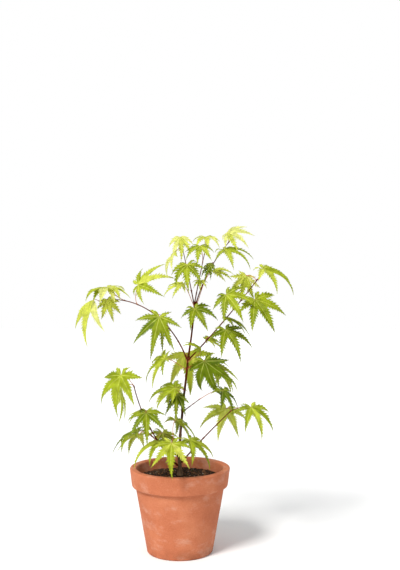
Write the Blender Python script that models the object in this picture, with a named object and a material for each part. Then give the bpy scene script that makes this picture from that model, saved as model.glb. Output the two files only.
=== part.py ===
"""A young Japanese maple in a plain clay pot.

One turned pot holds a fill of potting mix. A thin trunk stands on the mix with a flat
cut and forks into boughs. Each bough carries a spray: one shoot with palmate leaves
fused to it by their stalks. A few leaves grow straight from the trunk.

Lengths are millimetres and angles are degrees, turned to metres and radians where a
mesh is made. +X is right, +Y is back and +Z is up, from the middle of the pot's flat
underside. A compass bearing turns from +X through +Y, so 90 is back and 270 is front.
"""

import math
import random
from collections import namedtuple

import bmesh
import bpy
import numpy as np

MM = 0.001  # metres in a millimetre
GAP = 0.3  # air between two solids that touch on the real plant
UP = np.array([0.0, 0.0, 1.0])

# --- The pot and its fill ---
POT_HEIGHT = 125.0
RIM_HEIGHT = 27.0
RIM_TOP_RADIUS = 75.0
RIM_FOOT_RADIUS = 71.5
BODY_TOP_RADIUS = 66.5
FOOT_RADIUS = 49.0
WALL = 6.5
FLOOR = 8.0
EDGE_ROUND = 1.6
DRAIN_RADIUS = 5.0
DRAIN_CIRCLE = 25.0
DRAIN_COUNT = 3
POT_SIDES = 40
DRAIN_SIDES = 16
SOIL_TOP = 112.5
SOIL_EDGE_DROP = 2.5
SOIL_CROWN_RADIUS = 45.0

# --- The trunk: (x, y, z) of its middle, and its radius there ---
TRUNK_FOOT = SOIL_TOP + GAP
TRUNK_ROUTE = [
    ((0.0, 0.0, TRUNK_FOOT), 2.9),
    ((-0.5, 0.5, 150.0), 2.3),
    ((3.0, 0.0, 200.0), 1.85),
    ((12.0, 0.0, 286.0), 1.55),
    ((19.0, 0.5, 338.0), 1.3),
    ((22.0, 0.0, 370.0), 1.15),
]
FLARE = 2.2  # how much wider the root flare is at the cut
FLARE_HEIGHT = 5.0
FLARE_RINGS = (0, 0.35, 0.8, 1.6, 3.0)  # heights of the flare's rings, shares of its own height
TRUNK_SIDES = 10
LIMB_SIDES = 8
STALK_SIDES = 3
STALK_RADIUS = 0.5
STALK_LEAVE = (0.25, 0.15)  # first pull on a stalk, along its start and to its leaf, shares of its reach
STALK_ARRIVE = (0.3, 0.7)  # last pull, share of its reach, and how far it turns to its leaf
LIMB_STEP = 14.0  # length of limb between two rings
STALK_SUNK = 2.2  # how far a stalk runs into its leaf
STALK_LIFT = 0.1  # how far a stalk on the trunk leaves upwards, as a share of its reach
LEAF_MARGIN = 2.0  # shoot left bare between a spray's foot and its first leaf
SHARP_ANGLE = 35.0

# --- The leaf: a lobe is (bearing from the middle lobe, length, half-width), shares of the leaf ---
LOBES_OF_SEVEN = [(-126, 0.3, 0.036), (-82, 0.6, 0.07), (-40, 0.89, 0.088), (0, 1.02, 0.092)]
LOBES_OF_SEVEN += [(-bearing, length, wide) for bearing, length, wide in LOBES_OF_SEVEN[2::-1]]
CLEFT = 0.36  # how far out two lobes part, as a share of the shorter one
LOBE_WIDEST = 0.43
LEAF_THICKNESS = 0.65
KEEL = 0.12  # rise of a lobe's edges over its midrib, as a share of their distance
LOBE_ROOM = 1.3  # the most that a leaf's lobes may broaden, as a share of their spread
DROOP = (22.0, 60.0)  # how far a leaf bends down to its tips: facing level, facing up
SWEEP = 8.0  # how far gravity swings a side lobe's tip within the leaf

Shoot = namedtuple("Shoot", "height bearing rise bend length bare thick thin")
Leaf = namedtuple("Leaf", "at base tip face lobes spread breadth", defaults=[7, 1.0, 1.0])

# Each shoot leaves the trunk at a height, on a bearing and a rise above the level. It
# bends up or down evenly over its length. Its first stretch is the bare bough.
SHOOTS = {
    "left": Shoot(287, 150, 66, -77, 198, 81, 1.1, 0.6),
    "right": Shoot(287, 322, 41, 6, 170, 47, 1.15, 0.6),
    "top_left": Shoot(369, 117, 67, -4, 99, 40, 0.9, 0.5),
    "top_middle": Shoot(371, 330, 78, -2, 74, 27, 0.9, 0.5),
    "top_right": Shoot(369, 325, 71, -28, 110, 51, 0.95, 0.5),
    "low_left": Shoot(128, 200, 46, 30, 140, 70, 1.25, 0.7),
    "low_right": Shoot(133, 345, 49, -5, 108, 50, 1.2, 0.7),
    "spur": Shoot(209, 12, 35, 0, 28, 18, 0.8, 0.6),
    "back": Shoot(172, 84, 50, 4, 102, 58, 1.0, 0.6),
    "low_front": Shoot(138, 262, 30, 12, 64, 30, 1.1, 0.65),
    "low_back": Shoot(140, 128, 12, 10, 88, 40, 1.2, 0.65),
}

# Each leaf's stalk leaves its shoot so many millimetres out. base is where the stalk meets
# the blade, tip is the end of the middle lobe, and face is the (bearing, rise) that the
# blade's upper side looks along.
SPRAYS = {
    "left": {
        "inner": Leaf(88, (-31, -1, 350), (-42, -4, 285), (258, 18), 7, 0.95, 0.75),
        "inner_rear": Leaf(92, (-27, 39, 348), (-32, 47, 293), (280, 20), 3, 0.4),
        "raised": Leaf(123, (-66, 43, 398), (-9, 33, 411), (285, 38), 7, 1.0, 0.85),
        "dome": Leaf(147, (-120, 66, 392), (-120, 22, 368), (266, 48), 7, 1.12, 1.45),
        "dome_rear": Leaf(147, (-119, 80, 394), (-103, 40, 368), (282, 48), 7, 1.12, 1.45),
        "hanging": Leaf(174, (-117, 64, 375), (-108, 72, 339), (278, 18), 7, 0.8, 1.05),
        "outer": Leaf(195, (-138, 58, 374), (-148, 50, 302), (220, 18), 3, 1.15, 1.15),
    },
    "right": {
        "underside": Leaf(50, (39, -5, 316), (68, 12, 302), (290, 66), 7, 0.8, 0.75),
        "lower": Leaf(50, (67, -43, 333), (88, -61, 289), (288, 36), 7, 1.0, 1.15),
        "edgeways": Leaf(90, (63, -48, 350), (102, -52, 324), (345, 58), 7, 0.6, 0.62),
        "broad": Leaf(128, (67, -71, 384), (94, -89, 349), (248, 38), 7, 1.0, 1.22),
        "outer": Leaf(128, (108, -65, 377), (135, -77, 330), (276, 36), 7, 1.0, 1.25),
        "folded": Leaf(167, (96, -64, 411), (90, -34, 377), (272, 35), 7, 0.8, 0.72),
        "upper": Leaf(170, (119, -80, 420), (160, -85, 386), (320, 43), 7, 1.03, 0.95),
    },
    "top_left": {
        "crest": Leaf(99, (-1, 40, 472), (4, 24, 434), (270, 28), 7, 0.66, 1.25),
        "trailing": Leaf(94, (-8, 24, 448), (-19, 14, 410), (198, 15), 7, 0.75, 0.85),
    },
    "top_middle": {
        "front": Leaf(30, (11, -22, 428), (14, -44, 387), (255, 38), 7, 0.85, 1.3),
        "bud": Leaf(32, (30, -24, 404), (30, -36, 389), (270, 45), 5),
        "crown": Leaf(62, (30, -26, 455), (27, -54, 426), (262, 52), 7, 0.8, 1.2),
        "pale": Leaf(74, (39, 22, 471), (42, -8, 448), (275, 50), 7, 0.85, 1.1),
    },
    "top_right": {
        "shaded": Leaf(67, (48, -30, 430), (37, -34, 402), (245, 18), 5, 0.5),
        "arching": Leaf(86, (66, -40, 449), (104, -58, 421), (300, 52), 7, 1.0, 0.8),
        "summit": Leaf(108, (70, -25, 475), (105, -53, 454), (258, 33), 7, 0.60, 1.3),
    },
    "low_left": {
        "low": Leaf(100, (-48, -44, 213), (-42, -72, 173), (262, 42)),
        "outer": Leaf(138, (-85, -38, 266), (-90, -50, 206), (235, 30), 7, 1.1, 1.4),
        "rear": Leaf(140, (-90, -4, 239), (-92, 4, 190), (20, 20)),
    },
    "low_right": {
        "inner": Leaf(106, (70, 14, 210), (52, 34, 155), (75, 45)),
        "outer": Leaf(108, (105, -24, 218), (119, -50, 175), (300, 50)),
    },
    "spur": {
        "hanging": Leaf(28, (63, -22, 242), (78, -35, 206), (327, 53), 7, 1.16, 1.15),
    },
    "back": {
        "left": Leaf(62, (-14, 66, 235), (-22, 88, 197), (110, 35)),
        "middle": Leaf(102, (40, 76, 274), (60, 100, 236), (60, 40)),
        "right": Leaf(94, (60, 60, 258), (78, 84, 224), (40, 45)),
    },
}

# Leaves whose stalks leave the trunk itself, at a height.
TRUNK_LEAVES = {
    "collar_left": Leaf(366, (4, -14, 398), (-24, -14, 382), (278, 66), 7, 1.09, 0.85),
    "collar_right": Leaf(361, (48, 10, 419), (79, -4, 405), (285, 38), 3, 0.5, 0.75),
    "collar_front": Leaf(356, (22, -14, 363), (42, -32, 329), (275, 40), 7, 1.0, 1.3),
    "fork_front": Leaf(272, (37, -26, 286), (65, -4, 233), (239, 9), 7, 0.95, 1.15),
    "fork_right": Leaf(274, (35, 4, 283), (83, 18, 238), (62, 45), 7, 0.6),
    "fork_small": Leaf(282, (31, -32, 302), (5, -42, 309), (250, 60), 5),
    "fork_back": Leaf(268, (10, 24, 294), (20, 48, 225), (262, 22), 5),
    "side_left": Leaf(271, (-22, -6, 288), (-52, 20, 250), (232, 49), 7, 0.97, 0.8),
    "middle_left": Leaf(240, (-6, -22, 246), (-46, -6, 223), (268, 63), 7, 1.06),
    "middle_front": Leaf(228, (-4, -16, 236), (-5, -27, 197), (265, 20), 7, 0.7),
}

# --- Shoots whose leaves stand in pairs by rule, each pair square to the last ---
PAIRED_SHOOTS = {"low_front": 3, "low_back": 8}  # shoot: seed
PAIR_SPACING = 30.0
RULE_STALK = (24.0, 34.0)
RULE_LEAF = (46.0, 56.0)
RULE_HANG = (38.0, 66.0)
RULE_LEAN = (0.8, 0.55, 0.25)  # parts of a stalk's direction: across its shoot, along it and up
RULE_TURN = 12.0  # how far a pair may turn round its shoot from its due place


def radians(*degrees):
    return [math.radians(d) for d in degrees]


def unit(vector):
    return vector / np.linalg.norm(vector)


def heading(bearing, rise):
    """The unit vector on a compass bearing, so far above the level."""
    turn, lift = radians(bearing, rise)
    level = math.cos(lift)
    return np.array([math.cos(turn) * level, math.sin(turn) * level, math.sin(lift)])


# --- Centre lines ---


def trunk_at(height):
    """The trunk's middle and radius at a height, on a smooth curve through its route."""
    heights = [point[2] for point, _ in TRUNK_ROUTE]
    span = max(i for i, z in enumerate(heights[:-1]) if z <= max(height, heights[0]))
    middle = [np.array([*point, radius]) for point, radius in TRUNK_ROUTE]
    before, start, end, after = [
        middle[min(max(span + step, 0), len(middle) - 1)] for step in (-1, 0, 1, 2)
    ]
    t = (height - start[2]) / (end[2] - start[2])
    leave, arrive = (end - before) / 2, (after - start) / 2
    curve = (
        start * (2 * t**3 - 3 * t**2 + 1)
        + leave * (t**3 - 2 * t**2 + t)
        + end * (3 * t**2 - 2 * t**3)
        + arrive * (t**3 - t**2)
    )
    flare = FLARE * math.exp(-(height - TRUNK_FOOT) / FLARE_HEIGHT)
    return np.array([curve[0], curve[1], height]), curve[3] + flare


def clear_of_trunk(height, direction, radius):
    """Where a limb starts so that its flat end stands GAP clear of the trunk's side or top."""
    top = TRUNK_ROUTE[-1][0][2]
    level = math.hypot(direction[0], direction[1])
    middle, trunk_radius = trunk_at(min(height + radius * level, top))
    if height > top:
        return middle + UP * (GAP + (radius + trunk_radius) * level)
    away = np.array([direction[0], direction[1], 0.0]) / level
    middle[2] = height
    return middle + away * (trunk_radius + GAP + radius * abs(direction[2]))


def shoot_at(shoot, distance):
    """The point and the direction a distance out along a shoot."""
    root = clear_of_trunk(shoot.height, heading(shoot.bearing, shoot.rise), shoot.thick)
    rise, bend = radians(shoot.rise, shoot.bend)
    slope = rise + bend * distance / shoot.length
    if abs(bend) < 1e-6:
        out, up = distance * math.cos(rise), distance * math.sin(rise)
    else:
        scale = shoot.length / bend
        out = scale * (math.sin(slope) - math.sin(rise))
        up = scale * (math.cos(rise) - math.cos(slope))
    turn = math.radians(shoot.bearing)
    point = root + np.array([math.cos(turn) * out, math.sin(turn) * out, up])
    return point, heading(shoot.bearing, math.degrees(slope))


def shoot_radius(shoot, distance):
    return shoot.thick + (shoot.thin - shoot.thick) * distance / shoot.length


def stalk_route(start, leave, blade):
    """A stalk's points: it arches from its limb to the blade and runs a little way into it."""
    reach = np.linalg.norm(blade.base - start)
    toward = unit(blade.base - start)
    along, across = STALK_LEAVE
    pull, turn = STALK_ARRIVE
    first = start + (leave * along + toward * across) * reach
    last = blade.base - unit(toward + turn * blade.ahead) * pull * reach
    steps = np.linspace(0, 1, 5)[:, None]
    curve = (
        start * (1 - steps) ** 3
        + 3 * first * steps * (1 - steps) ** 2
        + 3 * last * steps**2 * (1 - steps)
        + blade.base * steps**3
    )
    return [*curve, blade.base + STALK_SUNK * blade.ahead]


# --- The leaf ---


class Blade:
    """A palmate leaf: flat polar places on it, bent down like an umbrella and hung in space."""

    def __init__(self, leaf):
        self.base = np.array(leaf.base, float)
        chord = np.array(leaf.tip, float) - self.base
        along = unit(chord)
        face = heading(*leaf.face)
        face = unit(face - along * (face @ along))
        low, high = radians(*DROOP)
        self.droop = low + (high - low) * abs(face[2])
        half = self.droop / 2
        self.length = np.linalg.norm(chord) * half / math.sin(half)
        self.ahead = along * math.cos(half) + face * math.sin(half)
        self.above = face * math.cos(half) - along * math.sin(half)
        self.left = np.cross(self.above, self.ahead)
        self.down = math.atan2(-self.left[2], -self.ahead[2])
        self.pull = math.radians(SWEEP) * math.hypot(self.left[2], self.ahead[2])
        hidden = (7 - leaf.lobes) // 2
        lobes = LOBES_OF_SEVEN[hidden : 7 - hidden]
        room = min(leaf.breadth, LOBE_ROOM * leaf.spread)
        self.lobes = [(turn * leaf.spread, length, wide * room) for turn, length, wide in lobes]

    def at(self, radius, bearing, lift=0.0):
        """The place at a flat radius and bearing (radians) from the stalk, raised by lift."""
        share = radius / self.length
        swung = bearing - self.pull * math.sin(bearing - self.down) * max(share, 0) ** 1.5
        slope = self.droop * share
        out = math.sin(slope) * self.length / self.droop
        fall = (1 - math.cos(slope)) * self.length / self.droop
        radial = self.ahead * math.cos(swung) + self.left * math.sin(swung)
        normal = radial * math.sin(slope) + self.above * math.cos(slope)
        return self.base + radial * out - self.above * fall + normal * lift

    def beside(self, bearing, out, aside, lift=0.0):
        """The place a way out along a lobe's midrib and aside from it."""
        angle = math.radians(bearing) + math.atan2(aside, out)
        return self.at(math.hypot(out, aside), angle, lift + KEEL * abs(aside))


def leaf_mesh(name, blade):
    """The leaf as a closed plate: each lobe has its cleft, its widest row and its tip."""
    half = LEAF_THICKNESS / 2
    tops, faces = [(0.0, 0.0, 0.0)], []
    clefts = []
    for near, far in zip(blade.lobes, blade.lobes[1:]):
        tops.append(((near[0] + far[0]) / 2, CLEFT * min(near[1], far[1]), 0.0))
        clefts.append(len(tops) - 1)
    rim = [0]
    for number, (bearing, length, wide) in enumerate(blade.lobes):
        row = len(tops)
        tops.append((bearing, LOBE_WIDEST * length, -wide))
        tops.append((bearing, LOBE_WIDEST * length, 0.0))
        tops.append((bearing, LOBE_WIDEST * length, wide))
        tops.append((bearing, length, 0.0))
        low, mid, high, tip = range(row, row + 4)
        before = clefts[number - 1] if number else None
        after = clefts[number] if number < len(clefts) else None
        faces += [(0, before, low, mid)] if before else [(0, low, mid)]
        faces += [(0, mid, high, after)] if after else [(0, mid, high)]
        faces += [(low, tip, mid), (mid, tip, high)]
        rim += [low, tip, high] + ([after] if after else [])
    size = blade.length
    places = [(bearing, out * size, aside * size) for bearing, out, aside in tops]
    upper = [blade.beside(b, out, aside, half) for b, out, aside in places]
    lower = [blade.beside(b, out, aside, -half) for b, out, aside in places]
    count = len(tops)
    faces += [tuple(count + i for i in reversed(face)) for face in faces]
    for here, there in zip(rim, rim[1:] + rim[:1]):
        faces.append((there, here, count + here, count + there))
    return new_object(name, upper + lower, faces)


# --- Meshes ---


def new_object(name, points, faces):
    mesh = bpy.data.meshes.new(name)
    mesh.from_pydata([tuple(np.asarray(p) * MM) for p in points], [], faces)
    shape = bmesh.new()
    shape.from_mesh(mesh)
    bmesh.ops.triangulate(shape, faces=shape.faces)
    bmesh.ops.recalc_face_normals(shape, faces=shape.faces)
    shape.to_mesh(mesh)
    shape.free()
    made = bpy.data.objects.new(name, mesh)
    bpy.context.scene.collection.objects.link(made)
    return made


def tube(name, route, radii, sides, first=None):
    """A closed round limb along a route, one ring to each point; first squares its foot."""
    route = [np.asarray(point, float) for point in route]
    forward = [unit(b - a) for a, b in zip(route, route[1:])]
    tangents = [forward[0]] + [unit(a + b) for a, b in zip(forward, forward[1:])] + [forward[-1]]
    if first is not None:
        tangents[0] = unit(np.asarray(first, float))
    across = unit(np.cross(tangents[0], UP if abs(tangents[0][2]) < 0.9 else np.array([0, 1.0, 0])))
    points, faces = [], []
    for number, (middle, tangent, radius) in enumerate(zip(route, tangents, radii)):
        across = unit(across - tangent * (across @ tangent))
        other = np.cross(tangent, across)
        for side in range(sides):
            turn = 2 * math.pi * side / sides
            points.append(middle + radius * (across * math.cos(turn) + other * math.sin(turn)))
        if number:
            ring = (number - 1) * sides
            for side in range(sides):
                after = (side + 1) % sides
                faces.append((ring + side, ring + after, ring + sides + after, ring + sides + side))
    faces.append(tuple(range(sides)))
    faces.append(tuple(range(len(points) - sides, len(points))))
    return new_object(name, points, faces)


def turned(name, profile):
    """A solid of revolution about Z from a closed or axis-to-axis profile of (radius, height)."""
    shape = bmesh.new()
    corners = [shape.verts.new((radius * MM, 0, height * MM)) for radius, height in profile]
    ends = corners[1:] + ([corners[0]] if profile[0][0] > 0 else [])
    edges = [shape.edges.new(pair) for pair in zip(corners, ends)]
    bmesh.ops.spin(
        shape,
        geom=corners + edges,
        cent=(0, 0, 0),
        axis=(0, 0, 1),
        angle=2 * math.pi,
        steps=POT_SIDES,
    )
    bmesh.ops.remove_doubles(shape, verts=shape.verts, dist=0.01 * MM)
    bmesh.ops.recalc_face_normals(shape, faces=shape.faces)
    mesh = bpy.data.meshes.new(name)
    shape.to_mesh(mesh)
    shape.free()
    made = bpy.data.objects.new(name, mesh)
    bpy.context.scene.collection.objects.link(made)
    return made


def boolean(target, operation, tools):
    """Joins or cuts target by the tools at once, applies it, and removes them."""
    group = bpy.data.collections.new(target.name + "_tools")
    bpy.context.scene.collection.children.link(group)
    for tool in tools:
        group.objects.link(tool)
        bpy.context.scene.collection.objects.unlink(tool)
    modifier = target.modifiers.new(operation, "BOOLEAN")
    modifier.operation = operation
    modifier.operand_type = "COLLECTION"
    modifier.collection = group
    graph = bpy.context.evaluated_depsgraph_get()
    result = bpy.data.meshes.new_from_object(target.evaluated_get(graph))
    target.modifiers.clear()
    target.data = result
    for tool in tools:
        bpy.data.objects.remove(tool)
    bpy.data.collections.remove(group)


# --- Materials ---


def material(name, colour, roughness, translucent=0.0):
    made = bpy.data.materials.new(name)
    made.use_nodes = True
    surface = made.node_tree.nodes["Principled BSDF"]
    surface.inputs["Base Color"].default_value = (*colour, 1)
    surface.inputs["Roughness"].default_value = roughness
    surface.inputs["Subsurface Weight"].default_value = translucent
    made.diffuse_color = (*colour, 1)
    return made


def finish(node, surface, smooth=True):
    node.data.materials.clear()
    node.data.materials.append(surface)
    if smooth:
        node.data.shade_smooth()
        node.data.set_sharp_from_angle(angle=math.radians(SHARP_ANGLE))
    return node


# --- The pot ---


def wall_inside(height):
    """The pot's inner radius at a height: its wall follows the body's slope."""
    slope = (BODY_TOP_RADIUS - FOOT_RADIUS) / (POT_HEIGHT - RIM_HEIGHT)
    return FOOT_RADIUS - WALL + slope * height


def make_pot(surface):
    shoulder = POT_HEIGHT - RIM_HEIGHT
    profile = [
        (0.0, 0.0),
        (FOOT_RADIUS - EDGE_ROUND, 0.0),
        (FOOT_RADIUS, EDGE_ROUND),
        (BODY_TOP_RADIUS, shoulder),
        (RIM_FOOT_RADIUS - EDGE_ROUND, shoulder),
        (RIM_FOOT_RADIUS, shoulder + EDGE_ROUND),
        (RIM_TOP_RADIUS, POT_HEIGHT - EDGE_ROUND),
        (RIM_TOP_RADIUS - EDGE_ROUND, POT_HEIGHT),
        (wall_inside(POT_HEIGHT) + EDGE_ROUND, POT_HEIGHT),
        (wall_inside(POT_HEIGHT - EDGE_ROUND), POT_HEIGHT - EDGE_ROUND),
        (wall_inside(FLOOR), FLOOR),
        (0.0, FLOOR),
    ]
    pot = turned("pot", profile)
    drains = []
    for number in range(DRAIN_COUNT):
        turn = 2 * math.pi * (number + 0.5) / DRAIN_COUNT
        spot = (DRAIN_CIRCLE * math.cos(turn), DRAIN_CIRCLE * math.sin(turn))
        route = [(*spot, -FLOOR), (*spot, 2 * FLOOR)]
        drains.append(tube(f"drain_{number}", route, [DRAIN_RADIUS] * 2, DRAIN_SIDES))
    boolean(pot, "DIFFERENCE", drains)
    finish(pot, surface)


def make_soil(surface):
    edge = SOIL_TOP - SOIL_EDGE_DROP
    profile = [
        (0.0, FLOOR + GAP),
        (wall_inside(FLOOR) - 2 * GAP, FLOOR + GAP),
        (wall_inside(edge) - 2 * GAP, edge),
        (SOIL_CROWN_RADIUS, SOIL_TOP),
        (0.0, SOIL_TOP),
    ]
    finish(turned("soil", profile), surface)


# --- The plant ---


def make_trunk(surface):
    top = TRUNK_ROUTE[-1][0][2]
    flare_rings = [TRUNK_FOOT + FLARE_HEIGHT * share for share in FLARE_RINGS]
    rings = int((top - flare_rings[-1]) / LIMB_STEP)
    heights = flare_rings + list(np.linspace(flare_rings[-1], top, rings + 1)[1:])
    stations = [trunk_at(height) for height in heights]
    route, radii = [middle for middle, _ in stations], [radius for _, radius in stations]
    finish(tube("trunk", route, radii, TRUNK_SIDES, first=UP), surface)


def shoot_tube(name, shoot, start, end, sides):
    steps = max(2, round((end - start) / LIMB_STEP))
    distances = np.linspace(start, end, steps + 1)
    route = [shoot_at(shoot, distance)[0] for distance in distances]
    radii = [shoot_radius(shoot, distance) for distance in distances]
    return tube(name, route, radii, sides)


def leaf_tools(name, start, leave, leaf):
    blade = Blade(leaf)
    route = stalk_route(start, leave, blade)
    stalk = tube(name + "_stalk", route, [STALK_RADIUS] * len(route), STALK_SIDES)
    return stalk, leaf_mesh(name + "_blade", blade)


def make_spray(name, shoot, leaves, surface):
    """A bough's spray: the rest of its shoot with every leaf fused on."""
    stem = shoot_tube("spray_" + name, shoot, shoot.bare + GAP, shoot.length, STALK_SIDES + 1)
    tools = []
    for label, leaf in leaves.items():
        start, leave = shoot_at(shoot, max(leaf.at, shoot.bare + LEAF_MARGIN))
        tools += leaf_tools(f"{name}_{label}", start, leave, leaf)
    boolean(stem, "UNION", tools)
    finish(stem, surface, smooth=False)


def make_trunk_leaf(name, leaf, surface):
    toward = leaf.base - trunk_at(leaf.at)[0]
    direction = unit(toward + UP * STALK_LIFT * np.linalg.norm(toward))
    start = clear_of_trunk(leaf.at, direction, STALK_RADIUS)
    stalk, plate = leaf_tools("leaf_" + name, start, direction, leaf)
    boolean(stalk, "UNION", [plate])
    stalk.name = "leaf_" + name
    finish(stalk, surface, smooth=False)


def paired_leaves(shoot, seed):
    """Opposite leaves by rule: a pair at each node, each pair square to the last."""
    chance = random.Random(seed)
    leaves = {}
    nodes = int((shoot.length - shoot.bare) / PAIR_SPACING) + 1
    for node in range(nodes):
        distance = shoot.length - (nodes - 1 - node) * PAIR_SPACING
        start, along = shoot_at(shoot, distance)
        side = unit(np.cross(along, UP))
        for hand in (-1, 1):
            spread = math.radians(90 * (node % 2) + chance.uniform(-RULE_TURN, RULE_TURN))
            across = hand * (side * math.cos(spread) + np.cross(side, along) * math.sin(spread))
            stalk = unit(np.array(RULE_LEAN) @ [across, along, UP]) * chance.uniform(*RULE_STALK)
            base = start + stalk
            outward = math.degrees(math.atan2(stalk[1], stalk[0]))
            hang = chance.uniform(*RULE_HANG)
            tip = base + heading(outward, -hang) * chance.uniform(*RULE_LEAF)
            leaves[f"{node}_{hand:+d}"] = Leaf(distance, base, tip, (outward, 90 - hang))
    return leaves


def make_plant(bark, twig, green):
    make_trunk(bark)
    for name, shoot in SHOOTS.items():
        finish(shoot_tube("bough_" + name, shoot, 0, shoot.bare, LIMB_SIDES), twig)
    for name, leaves in SPRAYS.items():
        make_spray(name, SHOOTS[name], leaves, green)
    for name, seed in PAIRED_SHOOTS.items():
        make_spray(name, SHOOTS[name], paired_leaves(SHOOTS[name], seed), green)
    for name, leaf in TRUNK_LEAVES.items():
        make_trunk_leaf(name, leaf, green)


def main():
    for old in list(bpy.data.objects):
        bpy.data.objects.remove(old)
    make_pot(material("fired clay", (0.55, 0.24, 0.13), 0.85))
    make_soil(material("potting mix", (0.06, 0.04, 0.028), 0.95))
    make_plant(
        material("bark", (0.13, 0.06, 0.04), 0.6),
        material("red twig", (0.24, 0.08, 0.05), 0.5),
        material("leaf", (0.33, 0.5, 0.06), 0.5, 0.2),
    )


main()
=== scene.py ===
"""The looks of a young Japanese maple in a plain clay pot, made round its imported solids.

The shoots and leaves grow here by the rule of the solids' source, from the same values.
This adds what the solids leave out: toothed, pleated leaves with veins, stems with node
rings, lenticels and buds, a pot with rounded edges and a loose top on the potting mix.

Lengths are millimetres and angles are degrees until a mesh is made. +X is right, +Y is
back and +Z is up, from the middle of the pot's flat underside. A compass bearing turns
from +X through +Y, so 90 is back and 270 is front.
"""

import math
import random
from collections import namedtuple

import bmesh
import bpy
import numpy as np
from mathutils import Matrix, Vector


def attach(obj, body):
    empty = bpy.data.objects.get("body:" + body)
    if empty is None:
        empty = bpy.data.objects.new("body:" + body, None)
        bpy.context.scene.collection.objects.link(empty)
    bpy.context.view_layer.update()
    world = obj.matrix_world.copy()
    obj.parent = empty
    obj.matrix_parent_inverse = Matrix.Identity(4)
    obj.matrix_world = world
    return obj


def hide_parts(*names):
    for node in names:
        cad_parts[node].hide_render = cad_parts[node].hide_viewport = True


MM = 0.001  # metres in a millimetre
GAP = 0.3  # air between two solids that touch on the real plant
UP = np.array([0.0, 0.0, 1.0])

# --- The pot and its fill ---
POT_HEIGHT = 125.0
RIM_HEIGHT = 27.0
RIM_TOP_RADIUS = 75.0
RIM_FOOT_RADIUS = 71.5
BODY_TOP_RADIUS = 66.5
FOOT_RADIUS = 49.0
WALL = 6.5
FLOOR = 8.0
DRAIN_RADIUS = 5.0
DRAIN_CIRCLE = 25.0
DRAIN_COUNT = 3
DRAIN_SIDES = 32
POT_SIDES = 144
POT_STEP = 2.0  # the longest step along the pot's profile
BED_SIDES = 96
BED_RINGS = 28
SHARP_ANGLE = 40  # a steeper edge than this is not smoothed
SOIL_TOP = 112.5
SOIL_EDGE_DROP = 2.5
SOIL_CROWN_RADIUS = 45.0

# --- The trunk: (x, y, z) of its middle, and its radius there ---
TRUNK_FOOT = SOIL_TOP + GAP
TRUNK_ROUTE = [
    ((0.0, 0.0, TRUNK_FOOT), 2.9),
    ((-0.5, 0.5, 150.0), 2.3),
    ((3.0, 0.0, 200.0), 1.85),
    ((12.0, 0.0, 286.0), 1.55),
    ((19.0, 0.5, 338.0), 1.3),
    ((22.0, 0.0, 370.0), 1.15),
]
TRUNK_TOP = TRUNK_ROUTE[-1][0][2]
FLARE = 2.2  # how much wider the root flare is at the cut
FLARE_HEIGHT = 5.0

# --- Stalks ---
STALK_RADIUS = 0.5
STALK_LEAVE = (0.25, 0.15)  # pulls along its start and to its leaf, shares of its reach
STALK_ARRIVE = (0.3, 0.7)  # last pull, and how far it turns to its leaf
STALK_LIFT = 0.1  # how far up a stalk leaves the trunk, as a share of its reach
LEAF_MARGIN = 2.0  # shoot left bare between a spray's foot and its first leaf

# --- The leaf: a lobe is (bearing from the middle lobe, length, half-width), shares of it ---
LOBES_OF_SEVEN = [(-126, 0.3, 0.034), (-82, 0.6, 0.055), (-40, 0.89, 0.07), (0, 1.02, 0.074)]
LOBES_OF_SEVEN += [(-bearing, length, wide) for bearing, length, wide in LOBES_OF_SEVEN[2::-1]]
CLEFT = 0.34  # how far out two lobes part, as a share of the shorter one
LOBE_WIDEST = 0.4  # where a lobe is widest, as a share of its length
LOBE_ROOM = 1.3  # the most that a leaf's lobes may broaden, as a share of their spread
DROOP = (22.0, 60.0)  # how far a leaf bends down to its tips: facing level, facing up
SWEEP = 8.0  # how far gravity swings a side lobe's tip within the leaf

Shoot = namedtuple("Shoot", "height bearing rise bend length bare thick thin")
LEAF_FIELDS = "at base tip face tint stalk spread breadth lobes"
Leaf = namedtuple("Leaf", LEAF_FIELDS, defaults=["mid", "pink", 1.0, 1.0, 7])

# Each shoot leaves the trunk at a height, on a bearing and a rise above the level. It bends by
# so many degrees over its length, is bare so far, and thins from one radius to another.
SHOOTS = {
    "left": Shoot(287, 150, 66, -77, 198, 81, 1.1, 0.6),
    "right": Shoot(287, 322, 41, 6, 170, 47, 1.15, 0.6),
    "top_left": Shoot(369, 117, 67, -4, 99, 40, 0.9, 0.5),
    "top_middle": Shoot(371, 330, 78, -2, 74, 27, 0.9, 0.5),
    "top_right": Shoot(369, 325, 71, -28, 110, 51, 0.95, 0.5),
    "low_left": Shoot(128, 200, 46, 30, 140, 70, 1.25, 0.7),
    "low_right": Shoot(133, 345, 49, -5, 108, 50, 1.2, 0.7),
    "spur": Shoot(209, 12, 35, 0, 28, 18, 0.8, 0.6),
    "back": Shoot(172, 84, 50, 4, 102, 58, 1.0, 0.6),
    "low_front": Shoot(138, 262, 30, 12, 64, 30, 1.1, 0.65),
    "low_back": Shoot(140, 128, 12, 10, 88, 40, 1.2, 0.65),
}

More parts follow.
